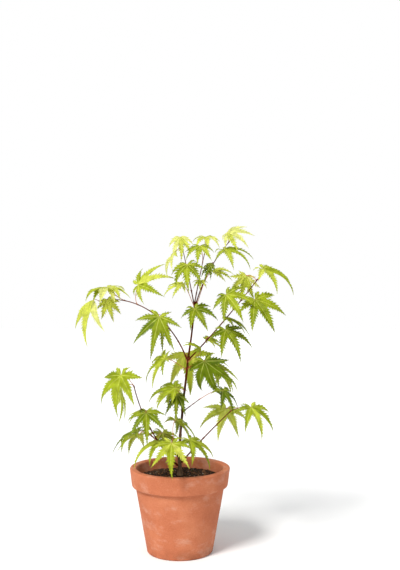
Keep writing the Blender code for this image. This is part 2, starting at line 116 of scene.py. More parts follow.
# Each leaf's stalk leaves its shoot so many millimetres out. base is where the stalk meets
# the blade, tip is the end of the middle lobe, and face is the (bearing, rise) that the
# blade's upper side looks along. Then come the colours of the blade and of the stalk, and how
# far the lobes spread and how broad they are, as shares of the usual.
# A blade's tint is partly the leaf's own colour and partly painted light and shade: darker tints
# are painted shade on leaves that stand in shadow, paler ones painted light on backlit leaves.
SPRAYS = {
    "left": {
        "inner": Leaf(88, (-31, -1, 350), (-42, -4, 285), (258, 18), "deep", "red", 0.95, 0.75),
        "inner_rear": Leaf(
            92, (-27, 39, 348), (-32, 47, 293), (280, 20), "deep", "red", 0.4, lobes=3
        ),
        "raised": Leaf(123, (-66, 43, 398), (-9, 33, 411), (285, 38), "light", "pink", 1.0, 0.85),
        "dome": Leaf(147, (-120, 66, 392), (-120, 22, 368), (266, 48), "fresh", "pink", 1.12, 1.45),
        "dome_rear": Leaf(
            147, (-119, 80, 394), (-103, 40, 368), (282, 48), "fresh", "pink", 1.12, 1.45
        ),
        "hanging": Leaf(
            174, (-117, 64, 375), (-108, 72, 339), (278, 18), "fresh", "pink", 0.8, 1.05
        ),
        "outer": Leaf(
            195, (-138, 58, 374), (-148, 50, 302), (220, 18), "fresh", "pink", 1.15, 1.15, lobes=3
        ),
    },
    "right": {
        "underside": Leaf(50, (39, -5, 316), (68, 12, 302), (290, 66), "light", "pink", 0.8, 0.75),
        "lower": Leaf(50, (67, -43, 333), (88, -61, 289), (288, 36), "deep", "red", 1.0, 1.15),
        "edgeways": Leaf(90, (63, -48, 350), (102, -52, 324), (345, 58), "deep", "red", 0.6, 0.62),
        "broad": Leaf(128, (67, -71, 384), (94, -89, 349), (248, 38), "deep", "red", 1.0, 1.22),
        "outer": Leaf(128, (108, -65, 377), (135, -77, 330), (276, 36), "mid", "red", 1.0, 1.25),
        "folded": Leaf(167, (96, -64, 411), (90, -34, 377), (272, 35), "fresh", "pink", 0.8, 0.72),
        "upper": Leaf(
            170, (119, -80, 420), (160, -85, 386), (320, 43), "light", "pink", 1.03, 0.95
        ),
    },
    "top_left": {
        "crest": Leaf(99, (-1, 40, 472), (4, 24, 434), (270, 28), "pale", "pink", 0.66, 1.25),
        "trailing": Leaf(94, (-8, 24, 448), (-19, 14, 410), (198, 15), "pale", "pink", 0.75, 0.85),
    },
    "top_middle": {
        "front": Leaf(30, (11, -22, 428), (14, -44, 387), (255, 38), "mid", "pink", 0.85, 1.3),
        "bud": Leaf(32, (30, -24, 404), (30, -36, 389), (270, 45), "fresh", "pink", lobes=5),
        "crown": Leaf(62, (30, -26, 455), (27, -54, 426), (262, 52), "mid", "pink", 0.8, 1.2),
        "pale": Leaf(74, (39, 22, 471), (42, -8, 448), (275, 50), "fresh", "pink", 0.85, 1.1),
    },
    "top_right": {
        "shaded": Leaf(67, (48, -30, 430), (37, -34, 402), (245, 18), "dark", "red", 0.5, lobes=5),
        "arching": Leaf(86, (66, -40, 449), (104, -58, 421), (300, 52), "mid", "pink", 1.0, 0.8),
        "summit": Leaf(108, (70, -25, 475), (105, -53, 454), (258, 33), "pale", "pink", 0.6, 1.3),
    },
    "low_left": {
        "low": Leaf(100, (-48, -44, 213), (-42, -72, 173), (262, 42), "deep", "red"),
        "outer": Leaf(138, (-85, -38, 266), (-90, -50, 206), (235, 30), "mid", "pink", 1.1, 1.4),
        "rear": Leaf(140, (-90, -4, 239), (-92, 4, 190), (20, 20), "light", "pink"),
    },
    "low_right": {
        "inner": Leaf(106, (70, 14, 210), (52, 34, 155), (75, 45), "light", "red"),
        "outer": Leaf(108, (105, -24, 218), (119, -50, 175), (300, 50), "mid", "red"),
    },
    "spur": {
        "hanging": Leaf(28, (63, -22, 242), (78, -35, 206), (327, 53), "dark", "pink", 1.16, 1.15),
    },
    "back": {
        "left": Leaf(62, (-14, 66, 235), (-22, 88, 197), (110, 35), "light", "pink"),
        "middle": Leaf(102, (40, 76, 274), (60, 100, 236), (60, 40), "mid", "pink"),
        "right": Leaf(94, (60, 60, 258), (78, 84, 224), (40, 45), "light", "pink"),
    },
}

# Leaves whose stalks leave the trunk itself, at a height.
TRUNK_LEAVES = {
    "collar_left": Leaf(
        366, (4, -14, 398), (-24, -14, 382), (278, 66), "fresh", "pink", 1.09, 0.85
    ),
    "collar_right": Leaf(
        361, (48, 10, 419), (79, -4, 405), (285, 38), "fresh", "pink", 0.5, 0.75, lobes=3
    ),
    "collar_front": Leaf(356, (22, -14, 363), (42, -32, 329), (275, 40), "deep", "red", 1.0, 1.3),
    "fork_front": Leaf(272, (37, -26, 286), (65, -4, 233), (239, 9), "dark", "red", 0.95, 1.15),
    "fork_right": Leaf(274, (35, 4, 283), (83, 18, 238), (62, 45), "mid", "red", 0.6),
    "fork_small": Leaf(282, (31, -32, 302), (5, -42, 309), (250, 60), "mid", "pink", lobes=5),
    "fork_back": Leaf(268, (10, 24, 294), (20, 48, 225), (262, 22), "fresh", "pink", lobes=5),
    "side_left": Leaf(271, (-22, -6, 288), (-52, 20, 250), (232, 49), "mid", "pink", 0.97, 0.8),
    "middle_left": Leaf(240, (-6, -22, 246), (-46, -6, 223), (268, 63), "mid", "pink", 1.06),
    "middle_front": Leaf(228, (-4, -16, 236), (-5, -27, 197), (265, 20), "dark", "red", 0.7),
}

# --- Shoots whose leaves stand in pairs by rule ---
PAIRED_SHOOTS = {"low_front": 3, "low_back": 8}  # shoot: seed
PAIR_SPACING = 30.0
RULE_STALK = (24.0, 34.0)
RULE_LEAF = (46.0, 56.0)
RULE_HANG = (38.0, 66.0)
RULE_LEAN = (0.8, 0.55, 0.25)  # a stalk's parts across its shoot, along it and up
RULE_TURN = 12.0  # how far a leaf may stand from its due turn
RULE_TINTS = ["mid", "light", "deep"]

# --- The detail of a leaf, which the solids lack; a pair is the least and the most ---
THICKNESS = 0.32
EDGE_THIN = 0.45  # the thickness left at a lobe's edge
COLUMNS = (0.0, 0.3, 0.65, 1.0)  # from the vein's edge to the lobe's
EDGE = len(COLUMNS) - 1
OUTER_CLEFT = (27.0, 0.11)  # turn and reach of a last lobe's free side
LOBE_LENGTHS = (0.97, 1.03)
LOBE_WIDTHS = (0.88, 1.1)
LOBE_SWING = 5.0  # how far a lobe may bend aside
LOBE_CURL = 0.24  # the most that a lobe arches, as a share of the leaf
LOBE_TWIST = 0.34
LOBE_TAPER = 1.15  # above 1, its sides curve inwards to the tip
LEAST_WIDEST = 0.1  # how near to its cleft it may be widest
PHASES = (0, 6.28)  # where a wave may start
WAVE_HEIGHT = 0.05
WAVE_LENGTH = 4.0
FOLD = (0.2, 0.62)  # rise of its edges over its vein, as a share of their distance
TOOTH_SPACING = 4.8
TOOTH_DEPTH = 3.2
TOOTH_SIZES = (0.6, 1.3)
TOOTH_LEAN = 0.75  # how far a tooth leans to the tip, as a share of its depth
TOOTH_FULL = 32.0  # a shorter lobe has smaller teeth
TOOTH_ROWS = (0.4, 0.8, 1.0)  # where its middle, point and notch stand
TOOTH_RISE = (0.55, 1.0, 0.0)
PER_TOOTH = len(TOOTH_ROWS)
TOOTH_FADE = (0.2, 6.0, 1.5)  # size at the cleft, growth from there, and end at the tip
WEB_ROWS = 6
WEB_LEAD = 0.62  # where the midrib stands beside the cleft, as a share of its way
VEIN_BASE = 0.46
VEIN_TIP = 0.1
VEIN_ROOM = 0.4  # the most of a lobe's half-width that its vein takes
PLEAT = 0.4
PLEAT_BY_COLUMN = (-0.3, 0.75, 1.0, 0.35)
PLEAT_BY_ROW = (0.7, 0.1, -1.0)

# --- The detail of stems and buds ---
STALK_SIDES = 8
BUD_SIDES = 7
STALK_END = (0.8, 0.2)  # how far a stalk runs into its leaf and under it
TRUNK_SIDES = 28
TRUNK_STEP = 0.9
TRUNK_RIDGE = 0.028  # height of its ridges, as a share of its radius
TRUNK_RINGS = [229, 241, 270, 357, 366]  # rings that carry no shoot
TRUNK_BUDS = ((286, 80), (286.5, 255), (288, 200), (288.5, 20), (172, 246), (209, 192))
TIP_SCALES = 9
GOLDEN_TURN = 137.5
TIP_SCALE = (0.75, 0.32, 3.4, 0.75)  # share of the way out, lean, length and radius
TRUNK_BUD = (0.8, 0.6, 3.0, 0.85)
SHOOT_SIDES = 14
SHOOT_STEP = 1.1
SHOOT_RIDGE = 0.02
SHOOT_SINK = 1.4  # how far a shoot's root runs back into the trunk
SHOOT_LAP = 0.6  # how far its two parts run into each other
RING_SPACING = 26.0  # between two rings on a bare shoot
RING_CLEAR = 8.0  # no ring stands nearer to the trunk
BUD_SHARES = np.array([0.0, 0.12, 0.35, 0.6, 0.82, 0.95, 1.0])  # where a bud's rings stand
BUD_SWELL = np.array([0.55, 0.9, 1.0, 0.82, 0.45, 0.16, 0.03])

# --- The photograph's view ---
SENSOR = 36.0
FOCAL_PIXELS = 800  # the lens, in pixels of the photograph
PHOTO_HEIGHT = 570
CAMERA_PLACE = (0.030, -1.200, 0.3975)  # metres

# --- The loose mix: piece, look, count, (least, most) size, stretch, how high a grain lies ---
GRAINS = [
    ("soil_crumbs", "peat", 2300, (0.5, 1.5), (1, 1, 1), 1.0),
    ("soil_crumbs", "loam", 900, (0.45, 1.25), (1, 1, 1), 1.0),
    ("soil_chips", "bark chip", 420, (1.0, 2.6), (1.5, 0.75, 0.3), 0.5),
    ("soil_crumbs", "grit", 90, (0.5, 1.1), (1, 1, 1), 1.0),
]

# --- Colours, as sRGB levels ---
MIX_LOOKS = {
    "peat": ((34, 24, 18), (62, 45, 33)),
    "loam": ((62, 44, 30), (96, 70, 48)),
    "bark chip": ((84, 54, 34), (134, 92, 60)),
    "grit": ((150, 142, 128), (196, 190, 178)),
}
STEM_LOOKS = {
    "twig": ("red twig", (54, 15, 0), (114, 45, 6)),
    "scale": ("bud scale", (72, 30, 26), (132, 56, 44)),
    "red": ("red stalk", (128, 46, 32), (164, 76, 50)),
    "pink": ("pink stalk", (162, 88, 52), (192, 130, 80)),
}
BARK_LOOK = ((36, 11, 0), (92, 38, 2))
WOOD_LOOK = ((84, 66, 52), (134, 110, 88))  # the trunk's greyer foot
LEAF_SHADES = (0.62, 1.3)  # dark and bright patches, as shares of a leaf's colour

# Each leaf tint, from the palest: (upper side, under side, share of light let through).
# A tint is partly a leaf's own colour and partly painted light and shade. The paler tints are
# partly the yellower colour of young leaves and partly painted light on backlit leaves. The
# darker tints are partly painted shade on leaves that stand in shadow, and "shade" is painted
# shade only, for darkened lobes.
TINTS = {
    "pale": ((220, 222, 148), (223, 227, 146), 0.5),
    "fresh": ((205, 210, 94), (208, 214, 100), 0.46),
    "light": ((187, 196, 64), (194, 204, 80), 0.4),
    "mid": ((162, 175, 36), (174, 186, 54), 0.34),
    "deep": ((137, 152, 24), (152, 164, 38), 0.28),
    "dark": ((106, 126, 10), (134, 148, 24), 0.22),
    "shade": ((84, 104, 0), (110, 124, 8), 0.16),
}
# A lobe's steps of tint are painted shade and painted light, for how each lobe tilts to the light.
LOBE_SHADE_STEPS = (-1, 0, 0, 0, 1, 1)  # how many tints darker than its leaf a lobe may be


# --- The source's rule ---


def radians(*degrees):
    return [math.radians(d) for d in degrees]


def unit(vector):
    return vector / np.linalg.norm(vector)


def heading(bearing, rise):
    """The unit vector on a compass bearing, so far above the level."""
    turn, lift = radians(bearing, rise)
    level = math.cos(lift)
    return np.array([math.cos(turn) * level, math.sin(turn) * level, math.sin(lift)])


def trunk_at(height):
    """The trunk's middle and radius at a height, on a smooth curve through its route."""
    heights = [point[2] for point, _ in TRUNK_ROUTE]
    span = max(i for i, z in enumerate(heights[:-1]) if z <= max(height, heights[0]))
    middle = [np.array([*point, radius]) for point, radius in TRUNK_ROUTE]
    before, start, end, after = [
        middle[min(max(span + step, 0), len(middle) - 1)] for step in (-1, 0, 1, 2)
    ]
    t = (height - start[2]) / (end[2] - start[2])
    leave, arrive = (end - before) / 2, (after - start) / 2
    curve = (
        start * (2 * t**3 - 3 * t**2 + 1)
        + leave * (t**3 - 2 * t**2 + t)
        + end * (3 * t**2 - 2 * t**3)
        + arrive * (t**3 - t**2)
    )
    flare = FLARE * math.exp(-(height - TRUNK_FOOT) / FLARE_HEIGHT)
    return np.array([curve[0], curve[1], height]), curve[3] + flare


def clear_of_trunk(height, direction, radius):
    """Where a limb starts so that its flat end stands GAP clear of the trunk's side or top."""
    level = math.hypot(direction[0], direction[1])
    middle, trunk_radius = trunk_at(min(height + radius * level, TRUNK_TOP))
    if height > TRUNK_TOP:
        return middle + UP * (GAP + (radius + trunk_radius) * level)
    away = np.array([direction[0], direction[1], 0.0]) / level
    middle[2] = height
    return middle + away * (trunk_radius + GAP + radius * abs(direction[2]))


def shoot_at(shoot, distance):
    """The point and the direction a distance out along a shoot."""
    root = clear_of_trunk(shoot.height, heading(shoot.bearing, shoot.rise), shoot.thick)
    rise, bend = radians(shoot.rise, shoot.bend)
    slope = rise + bend * distance / shoot.length
    if abs(bend) < 1e-6:
        out, up = distance * math.cos(rise), distance * math.sin(rise)
    else:
        scale = shoot.length / bend
        out = scale * (math.sin(slope) - math.sin(rise))
        up = scale * (math.cos(rise) - math.cos(slope))
    turn = math.radians(shoot.bearing)
    point = root + np.array([math.cos(turn) * out, math.sin(turn) * out, up])
    return point, heading(shoot.bearing, math.degrees(slope))


def shoot_radius(shoot, distance):
    return shoot.thick + (shoot.thin - shoot.thick) * distance / shoot.length


class Blade:
    """A palmate leaf: flat polar places on it, bent down like an umbrella and hung in space."""

    def __init__(self, leaf):
        self.base = np.array(leaf.base, float)
        chord = np.array(leaf.tip, float) - self.base
        along = unit(chord)
        face = heading(*leaf.face)
        face = unit(face - along * (face @ along))
        low, high = radians(*DROOP)
        self.droop = low + (high - low) * abs(face[2])
        half = self.droop / 2
        self.length = np.linalg.norm(chord) * half / math.sin(half)
        self.ahead = along * math.cos(half) + face * math.sin(half)
        self.above = face * math.cos(half) - along * math.sin(half)
        self.left = np.cross(self.above, self.ahead)
        self.down = math.atan2(-self.left[2], -self.ahead[2])
        self.pull = math.radians(SWEEP) * math.hypot(self.left[2], self.ahead[2])
        hidden = (7 - leaf.lobes) // 2
        lobes = LOBES_OF_SEVEN[hidden : 7 - hidden]
        room = min(leaf.breadth, LOBE_ROOM * leaf.spread)
        self.lobes = [(turn * leaf.spread, length, wide * room) for turn, length, wide in lobes]

    def at(self, radius, bearing, lift):
        """The places at flat radii and bearings (radians) from the stalk, raised by lifts."""
        share = radius / self.length
        swung = bearing - self.pull * np.sin(bearing - self.down) * share**1.5
        slope = self.droop * share
        out = np.sin(slope) * self.length / self.droop
        fall = (1 - np.cos(slope)) * self.length / self.droop
        radial = np.outer(np.cos(swung), self.ahead) + np.outer(np.sin(swung), self.left)
        normal = radial * np.sin(slope)[:, None] + np.outer(np.cos(slope), self.above)
        surface = self.base + radial * out[:, None] - np.outer(fall, self.above)
        return surface + normal * lift[:, None]


def stalk_route(start, leave, blade, count=16):
    """A stalk's points: it arches from its limb to the blade."""
    reach = np.linalg.norm(blade.base - start)
    toward = unit(blade.base - start)
    along, across = STALK_LEAVE
    pull, turn = STALK_ARRIVE
    first = start + (leave * along + toward * across) * reach
    last = blade.base - unit(toward + turn * blade.ahead) * pull * reach
    steps = np.linspace(0, 1, count)[:, None]
    return (
        start * (1 - steps) ** 3
        + 3 * first * steps * (1 - steps) ** 2
        + 3 * last * steps**2 * (1 - steps)
        + blade.base * steps**3
    )


def paired_leaves(shoot, seed):
    """Opposite leaves by rule: a pair at each node, each pair square to the last."""
    chance, (beside, ahead, above) = random.Random(seed), RULE_LEAN
    leaves = {}
    nodes = int((shoot.length - shoot.bare) / PAIR_SPACING) + 1
    for node in range(nodes):
        distance = shoot.length - (nodes - 1 - node) * PAIR_SPACING
        start, along = shoot_at(shoot, distance)
        side = unit(np.cross(along, UP))
        for hand in (-1, 1):
            spread = math.radians(90 * (node % 2) + chance.uniform(-RULE_TURN, RULE_TURN))
            across = hand * (side * math.cos(spread) + np.cross(side, along) * math.sin(spread))
            stalk = unit(across * beside + along * ahead + UP * above)
            stalk = stalk * chance.uniform(*RULE_STALK)
            base = start + stalk
            outward = math.degrees(math.atan2(stalk[1], stalk[0]))
            hang = chance.uniform(*RULE_HANG)
            tip = base + heading(outward, -hang) * chance.uniform(*RULE_LEAF)
            tint = RULE_TINTS[(seed + node + (hand > 0)) % len(RULE_TINTS)]
            leaves[f"{node}_{hand:+d}"] = Leaf(distance, base, tip, (outward, 90 - hang), tint)
    return leaves


# --- Shapes ---


def placed(name, data):
    made = bpy.data.objects.new(name, data)
    bpy.context.scene.collection.objects.link(made)
    return made


def mesh_object(name, points, faces):
    mesh = bpy.data.meshes.new(name)
    mesh.from_pydata([tuple(point) for point in points], [], faces)
    return placed(name, mesh)


def smooth(mesh, sharp):
    mesh.shade_smooth()
    mesh.set_sharp_from_angle(angle=math.radians(sharp))


def turns_round(sides):
    return np.linspace(0, 2 * math.pi, sides, endpoint=False)


class Shape:
    """Points and faces gathered for one piece, each face with its surface."""

    def __init__(self):
        self.points, self.faces, self.surfaces = [], [], []

    def add(self, points, faces, surfaces):
        first = len(self.points)
        self.points.extend(np.asarray(points) * MM)
        self.faces.extend([tuple(first + i for i in face) for face in faces])
        self.surfaces.extend(surfaces if isinstance(surfaces, list) else [surfaces] * len(faces))

    def piece(self, name, slot, nodes, sharp=SHARP_ANGLE):
        """Makes the mesh, rides it on the plant and lets it stand for the CAD nodes."""
        made = mesh_object(name, self.points, self.faces)
        used = list(dict.fromkeys(self.surfaces))
        for surface in used:
            made.data.materials.append(surface)
        order = [used.index(surface) for surface in self.surfaces]
        made.data.polygons.foreach_set("material_index", order)
        smooth(made.data, sharp)
        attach(made, "root")
        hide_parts(*nodes)
        return made


def rings(route, radius, first=None):
    """The points of a limb: a ring at each point of its route, with radii (rings, sides)."""
    route = np.asarray(route, float)
    forward = np.diff(route, axis=0)
    forward /= np.linalg.norm(forward, axis=1)[:, None]
    tangents = np.vstack([forward[:1], forward[:-1] + forward[1:], forward[-1:]])
    if first is not None:
        tangents[0] = first
    turns = turns_round(radius.shape[1])
    across = np.cross(tangents[0], UP if abs(tangents[0][2]) < 0.9 else np.array([0, 1.0, 0]))
    points = []
    for middle, tangent, row in zip(route, tangents, radius):
        tangent = unit(tangent)
        across = unit(across - tangent * (across @ tangent))
        other = np.cross(tangent, across)
        circle = np.outer(np.cos(turns), across) + np.outer(np.sin(turns), other)
        points.append(middle + circle * row[:, None])
    return np.vstack(points)


def ring_faces(count, sides, closed=True):
    """The faces between so many rings, and over both ends."""
    faces = []
    for ring in range(count - 1):
        low, high = ring * sides, (ring + 1) * sides
        for side in range(sides):
            after = (side + 1) % sides
            faces.append((low + side, low + after, high + after, high + side))
    if closed:
        faces.append(tuple(reversed(range(sides))))
        faces.append(tuple(range((count - 1) * sides, count * sides)))
    return faces


def limb(shape, route, radius, surface, first=None):
    shape.add(rings(route, radius, first), ring_faces(*radius.shape), surface)


def bud(shape, at, direction, length, wide, surface):
    """A small pointed bud or bud scale."""
    route = at + np.outer(BUD_SHARES * length, direction)
    limb(shape, route, np.repeat((BUD_SWELL * wide)[:, None], BUD_SIDES, 1), surface)


# --- Bark: relief on a limb's rings ---


def bark_relief(distances, radii, sides, nodes, chance, ridge):
    """Radii (rings, sides) with fine ridges, a collar at each node, and raised pores."""
    turns = turns_round(sides)[None, :]
    along = np.asarray(distances)[:, None]
    base = np.asarray(radii)[:, None]
    phase = [chance.uniform(*PHASES) for _ in range(6)]
    ripple = (
        np.sin(5 * turns + phase[0] + 1.1 * np.sin(along / 11 + phase[1]))
        + 0.7 * np.sin(8 * turns + phase[2] + along / 17)
        + 0.5 * np.sin(3 * turns + phase[3] - along / 23)
    )
    slow = np.sin(along / 19 + phase[4]) + np.sin(along / 7 + phase[5]) * 0.5
    relief = base * (1 + ridge * ripple + 0.02 * slow)
    for node in nodes:
        away = along - node
        collar = 0.16 + 0.14 * base
        for height, middle, reach in ((collar, 0, 1.3), (-0.09, 2.4, 0.5), (0.06, -1.9, 0.5)):
            relief = relief + height * np.exp(-(((away - middle) / reach) ** 2))
    first, last = along[0, 0], along[-1, 0]
    for _ in range(int((last - first) * float(base.mean()) / 9)):
        spot, face = chance.uniform(first, last), chance.uniform(0, 2 * math.pi)
        aside = (np.cos(turns - face) - 1) * -2 * base**2
        relief = relief + 0.1 * np.exp(-(((along - spot) / 0.75) ** 2) - aside / 0.12)
    return relief


# --- Leaves ---


def lobe_edge(share, cleft, wide, widest):
    """A lobe's half-width a share of the way from its cleft to its tip."""
    rise = np.clip(share / widest, 0, 1)
    fall = np.clip((share - widest) / (1 - widest), 0, 1)
    inner = cleft + (wide - cleft) * (3 * rise**2 - 2 * rise**3)
    outer = wide * (1 - fall) ** LOBE_TAPER
    return float(np.where(share < widest, inner, outer))


def tint_near(tint, steps):
    """The tint so many steps darker than one, or lighter where the steps are negative."""
    order = list(TINTS)
    return order[min(max(order.index(tint) + steps, 0), len(order) - 1)]


def lobe_clefts(lobes, number, size):
    """For each side of a lobe, how far out and aside it parts from the lobe beside it."""
    bearing, length, _ = lobes[number]
    for hand in (-1, 1):
        other = number + hand
        half, cleft = math.radians(OUTER_CLEFT[0]), OUTER_CLEFT[1] * size
        if 0 <= other < len(lobes):
            half = math.radians(abs(lobes[other][0] - bearing) / 2)
            cleft = CLEFT * min(length, lobes[other][1]) * size
        yield hand, cleft * math.cos(half), cleft * math.sin(half)


def lobe_rows(lobes, number, size, chance):
    """A lobe's step of tint, a painted shade or painted light for how the lobe tilts, and its rows
    from stalk to tip. A row has two sides, and a side has a (forth, aside, lift, thickness, swing)
    in each column."""
    _, length, wide = lobes[number]
    long = length * size * chance.uniform(*LOBE_LENGTHS)
    bend = math.radians(chance.uniform(-LOBE_SWING, LOBE_SWING))
    curl, twist = chance.uniform(0.0, LOBE_CURL), chance.uniform(-LOBE_TWIST, LOBE_TWIST)
    wave, fold = chance.uniform(*PHASES), chance.uniform(*FOLD)
    wide *= chance.uniform(*LOBE_WIDTHS)
    step = chance.choice(LOBE_SHADE_STEPS)
    clefts = list(lobe_clefts(lobes, number, size))
    lead = WEB_LEAD * min(clefts[0][1], clefts[1][1])
    teeth = max(3, round((long - lead) / TOOTH_SPACING))
    rows = []
    for row in range(WEB_ROWS + PER_TOOTH * teeth + 1):
        free = (row - WEB_ROWS) / (PER_TOOTH * teeth)
        middle = lead * row / WEB_ROWS if free <= 0 else lead + (long - lead) * free
        vein = min(row / 2, 1) * (VEIN_BASE + (VEIN_TIP - VEIN_BASE) * middle / size)
        reach = max(0.0, free)
        rows.append([])
        for hand, over, beside in clefts:
            if free <= 0:
                out, aside = over * row / WEB_ROWS, beside * row / WEB_ROWS
            else:
                tooth, part = divmod(row - WEB_ROWS - 1, PER_TOOTH)
                share = (tooth + TOOTH_ROWS[part]) / teeth
                widest = max(LEAST_WIDEST, (LOBE_WIDEST * length * size - over) / (long - over))
                least, grow, end = TOOTH_FADE
                fade = min(1.0, grow * share + least, end * (1 - share))
                rise = TOOTH_DEPTH * TOOTH_RISE[part] * fade * chance.uniform(*TOOTH_SIZES)
                rise *= min(1.0, long / TOOTH_FULL)
                out = over + (long - over) * share + TOOTH_LEAN * rise
                aside = lobe_edge(share, beside, wide * size, widest) + rise
            edge_vein = min(vein, VEIN_ROOM * aside)
            side = []
            for column, part in enumerate(COLUMNS):
                away = edge_vein + (aside - edge_vein) * part
                spread = away / aside if aside > 0 else 0.0
                forth = middle + (out - middle) * spread
                lift = fold * away
                if free > 0 or column < EDGE:
                    pleat = PLEAT * PLEAT_BY_COLUMN[column]
                    pleat *= PLEAT_BY_ROW[row % PER_TOOTH] if column else 1
                    lift += pleat * min(1, row / PER_TOOTH)
                    ripple = WAVE_HEIGHT * away * math.sin(forth / WAVE_LENGTH + wave + hand)
                    lift += reach * (twist * hand * away + ripple)
                    lift += curl * size * (reach - reach**2)
                thick = EDGE_THIN if column == EDGE and free > 0 else 1.0
                side.append((forth, hand * away, lift, thick, bend * reach**2))
            rows[-1].append(side)
    return step, rows


def grow_leaf(shape, leaf, name, looks):
    """A closed thin leaf: pleated lobes with toothed edges and a paler vein down each."""
    blade, chance = Blade(leaf), random.Random(name)
    lobes = blade.lobes
    polar, shared, kinds, faces = [(0.0, 0.0, 0.0, 1.0)], {}, [], []

    def new_point(bearing, forth, aside, lift, thick, swing):
        turn = math.radians(bearing) + math.atan2(aside, forth) + swing
        polar.append((math.hypot(forth, aside), turn, lift, thick))
        return len(polar) - 1

    for number, (bearing, _, _) in enumerate(lobes):
        step, rows = lobe_rows(lobes, number, blade.length, chance)
        # The lobe takes a tint a step darker or lighter than its leaf: painted shade or painted
        # light.
        look = looks[tint_near(leaf.tint, step)]
        across = 2 * len(COLUMNS)
        indices = [[0] * across]
        for row, sides in enumerate(rows[1:-1], 1):
            ring = []
            for hand, side in zip((-1, 1), sides):
                spots = []
                for column, spot in enumerate(side):
                    beside = 0 <= number + hand < len(lobes) and row <= WEB_ROWS
                    joined = beside and column == EDGE
                    key = (number + min(hand, 0), row) if joined else len(polar)
                    if key not in shared:
                        shared[key] = new_point(bearing, *spot)
                    spots.append(shared[key])
                ring += spots[::-1] if hand < 0 else spots
            indices.append(ring)
        forth, _, *rest = rows[-1][0][0]
        indices.append([new_point(bearing, forth, 0.0, *rest)] * across)
        for near, far in zip(indices, indices[1:]):
            for column in range(across - 1):
                corners = (near[column], far[column], far[column + 1], near[column + 1])
                face = tuple(dict.fromkeys(corners))
                if len(face) > 2:
                    faces.append(face)
                    kinds.append((look, column == EDGE))
    radius, turn, lift, thick = np.array(polar).T
    half = THICKNESS / 2 * thick
    points = np.vstack([blade.at(radius, turn, lift + half), blade.at(radius, turn, lift - half)])
    count = len(polar)
    edges = {(a, b) for face in faces for a, b in zip(face, face[1:] + face[:1])}
    under = [tuple(count + i for i in reversed(face)) for face in faces]
    rim = [(a, count + a, count + b, b) for a, b in sorted(edges) if (b, a) not in edges]
    above = [look[1 if vein else 0] for look, vein in kinds]
    below = [look[3 if vein else 2] for look, vein in kinds]
    shape.add(points, faces + under + rim, above + below + [looks[leaf.tint][0]] * len(rim))
    return blade


def grow_stalk(shape, start, leave, blade, surface):
    """A leaf's stalk, swollen where it leaves its limb and where it meets the blade."""
    into, below = STALK_END
    route = stalk_route(start, leave, blade)
    route = np.vstack([route, blade.base + into * blade.ahead - below * blade.above])
    share = np.linspace(0, 1, len(route))
    swell = 0.9 + 0.95 * np.exp(-share / 0.05) + 0.35 * np.exp(-(1 - share) / 0.06)
    swell[-1] *= 0.55
    limb(shape, route, np.repeat((STALK_RADIUS * swell)[:, None], STALK_SIDES, 1), surface)


# --- Surfaces ---


def linear(*levels):
    """Linear red, green and blue from sRGB levels out of 255."""
    shares = [level / 255 for level in levels]
    return [s / 12.92 if s <= 0.04045 else ((s + 0.055) / 1.055) ** 2.4 for s in shares]


def blend(one, other, share):
    return [a + (b - a) * share for a, b in zip(one, other)]


class Nodes:
    """Shorthand for a material's nodes. A value may be another node's output."""

    def __init__(self, name):
        self.material = bpy.data.materials.new(name)
        self.material.use_nodes = True
        self.tree = self.material.node_tree
        self.surface = self.tree.nodes["Principled BSDF"]
        self.place = self.node("TexCoord", "Object")

    def put(self, socket, value):
        if isinstance(value, bpy.types.NodeSocket):
            self.tree.links.new(value, socket)
        elif socket.type == "RGBA":
            socket.default_value = (*value, 1)
        else:
            socket.default_value = value

    def node(self, kind, output, inputs=(), **settings):
        """Adds a node with such inputs and settings, and returns one of its outputs."""
        made = self.tree.nodes.new("ShaderNode" + kind)
        for name, value in settings.items():
            setattr(made, name, value)
        for name, value in dict(inputs).items():
            self.put(made.inputs[name], value)
        return made.outputs[output]

    def noise(self, scale, detail=4.0, rough=0.5, stretch=None):
        place = self.place
        if stretch:
            place = self.node("Mapping", "Vector", {"Vector": place, "Scale": stretch})
        inputs = {"Scale": scale, "Detail": detail, "Roughness": rough, "Vector": place}
        return self.node("TexNoise", "Fac", inputs)

    def cells(self, scale, feature="DISTANCE_TO_EDGE"):
        inputs = {"Scale": scale, "Vector": self.place}
        return self.node("TexVoronoi", "Distance", inputs, feature=feature)

    def ramp(self, factor, *stops):
        colour = self.node("ValToRGB", "Color", {"Fac": factor})
        ramp = colour.node.color_ramp
        while len(ramp.elements) < len(stops):
            ramp.elements.new(0.5)
        for element, (spot, level) in zip(ramp.elements, stops):
            element.position = spot
            element.color = (*(level if isinstance(level, (list, tuple)) else [level] * 3), 1)
        return colour

    def mix(self, factor, one, other):
        return self.node("Mix", 2, {0: factor, 6: one, 7: other}, data_type="RGBA")

    def up(self, low, high):
        """The share of the way from one height over the floor, in metres, to another."""
        height = self.node("SeparateXYZ", "Z", {0: self.place})
        inputs = {"From Min": low, "From Max": high, "Value": height}
        return self.node("MapRange", "Result", inputs)

    def bump(self, height, strength, distance):
        inputs = {"Strength": strength, "Distance": distance * MM, "Height": height}
        socket = self.surface.inputs["Normal"]
        if socket.links:
            inputs["Normal"] = socket.links[0].from_socket
        self.put(socket, self.node("Bump", "Normal", inputs))

    def finish(self, colour, roughness, shine=0.5):
        self.put(self.surface.inputs["Base Color"], colour)
        self.put(self.surface.inputs["Roughness"], roughness)
        self.put(self.surface.inputs["Specular IOR Level"], shine)
        return self.material

    def let_through(self, colour, share):
        """A share of the light comes through from behind."""
        glow = self.node("BsdfTranslucent", 0, {"Color": colour})
        both = self.node("MixShader", 0, {0: share, 1: self.surface.outputs[0], 2: glow})
        self.put(self.tree.nodes["Material Output"].inputs["Surface"], both)


